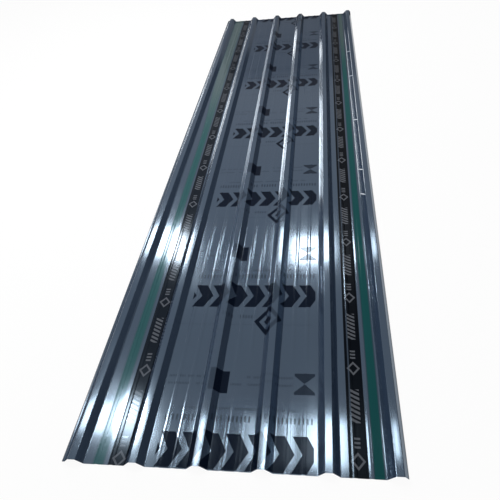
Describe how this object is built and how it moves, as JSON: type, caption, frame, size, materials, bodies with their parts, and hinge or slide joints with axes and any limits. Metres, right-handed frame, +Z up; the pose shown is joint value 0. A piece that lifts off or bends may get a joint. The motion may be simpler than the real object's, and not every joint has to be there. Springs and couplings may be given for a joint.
{
  "type": "roofing sheet",
  "caption": "Long ribbed steel roofing sheet, colour-coated blue-grey, lying flat, with its clear printed guard film still on.",
  "frame": {"origin": "middle of the footprint, at floor level, under the pans", "axes": "+Z up, +Y along the ribs, +X across the ribs from the lipped edge to the free edge"},
  "size_m": [1.0624, 4, 0.0256],
  "materials": {
    "coil_coating": "glossy blue-grey coil coating, smooth",
    "guard_film": "clear glossy film, shown in the colour of the coating beneath it, with a dark print"
  },
  "bodies": {
    "root": {"roof_sheet": "coil_coating", "guard_film": "guard_film"}
  },
  "joints": []
}
